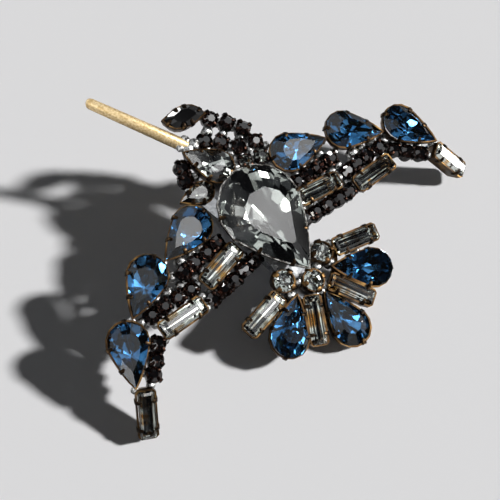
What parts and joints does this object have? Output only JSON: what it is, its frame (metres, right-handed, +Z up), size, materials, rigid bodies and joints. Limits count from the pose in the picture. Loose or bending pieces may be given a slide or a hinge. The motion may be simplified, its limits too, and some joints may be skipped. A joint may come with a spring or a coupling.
{
  "type": "hair clip",
  "caption": "Hummingbird hair clip of claw-set glass stones soldered setting to setting, over a sprung steel alligator clip whose lower arm hinges open.",
  "frame": {"origin": "centre of the footprint on the surface the ornament lies on, touching the tail end and the clip's thumb lever", "axes": "+X towards the bird's right wing, +Y forwards from tail to head, +Z up from the surface; the bird is pitched 21 degrees head up"},
  "size_m": [0.0994, 0.072, 0.0303],
  "materials": {
    "sapphire_glass": "faceted foil-backed glass, sapphire blue",
    "crystal_glass": "faceted foil-backed clear glass",
    "smoke_glass": "faceted grey glass",
    "jet_glass": "faceted black glass in blackened cups",
    "antique_brass": "brown antiqued brass with silver solder",
    "beak_gold": "satin pale gold",
    "clip_steel": "plated spring steel sheet",
    "spring_steel": "spring wire"
  },
  "bodies": {
    "bird": {"centre_stone": "crystal_glass", "centre_setting": "antique_brass", "beak": "beak_gold", "crest_navette_stone": "jet_glass", "crest_navette_setting": "antique_brass", "throat_stone": "crystal_glass", "throat_setting": "antique_brass", "cheek_stone": "smoke_glass", "cheek_setting": "antique_brass", "crown_row": "jet_glass", "nape_row": "jet_glass", "collar_row": "smoke_glass", "chin_row": "jet_glass", "tail_middle_pear_stone": "sapphire_glass", "tail_right_pear_stone": "sapphire_glass", "tail_right_inner_baguette_stone": "crystal_glass", "tail_right_outer_baguette_stone": "crystal_glass", "tail_left_pear_stone": "sapphire_glass", "tail_left_inner_baguette_stone": "crystal_glass", "tail_left_outer_baguette_stone": "crystal_glass", "tail_setting": "antique_brass", "tail_root_chatons": "crystal_glass", "right_wing_inner_pear_stone": "sapphire_glass", "right_wing_inner_pear_setting": "antique_brass", "right_wing_middle_pear_stone": "sapphire_glass", "right_wing_middle_pear_setting": "antique_brass", "right_wing_outer_pear_stone": "sapphire_glass", "right_wing_outer_pear_setting": "antique_brass", "right_wing_inner_baguette_stone": "crystal_glass", "right_wing_inner_baguette_setting": "antique_brass", "right_wing_middle_baguette_stone": "crystal_glass", "right_wing_middle_baguette_setting": "antique_brass", "right_wing_inner_row": "jet_glass", "right_wing_middle_row": "jet_glass", "right_wing_lower_row": "jet_glass", "right_wing_outer_row": "jet_glass", "right_wing_tip_baguette_stone": "crystal_glass", "right_wing_tip_baguette_setting": "antique_brass", "left_wing_inner_pear_stone": "sapphire_glass", "left_wing_inner_pear_setting": "antique_brass", "left_wing_middle_pear_stone": "sapphire_glass", "left_wing_middle_pear_setting": "antique_brass", "left_wing_outer_pear_stone": "sapphire_glass", "left_wing_outer_pear_setting": "antique_brass", "left_wing_inner_baguette_stone": "crystal_glass", "left_wing_inner_baguette_setting": "antique_brass", "left_wing_middle_baguette_stone": "crystal_glass", "left_wing_middle_baguette_setting": "antique_brass", "left_wing_inner_row": "jet_glass", "left_wing_middle_row": "jet_glass", "left_wing_lower_row": "jet_glass", "left_wing_outer_row": "jet_glass", "left_wing_tip_baguette_stone": "crystal_glass", "left_wing_tip_baguette_setting": "antique_brass", "clip_upper_plate": "clip_steel", "clip_hinge_pin": "clip_steel", "clip_spring": "spring_steel"},
    "clip_arm": {"clip_lower_arm": "clip_steel"}
  },
  "joints": [
    {"name": "clip_squeeze", "type": "hinge", "parent": "bird", "child": "clip_arm", "pos_m": [-0.00034, -0.00114, 0.00676], "axis": [1, 0, 0], "range_deg": [0, 32], "stiffness_Nm_per_rad": 0.02, "springref_deg": -171.89}
  ]
}
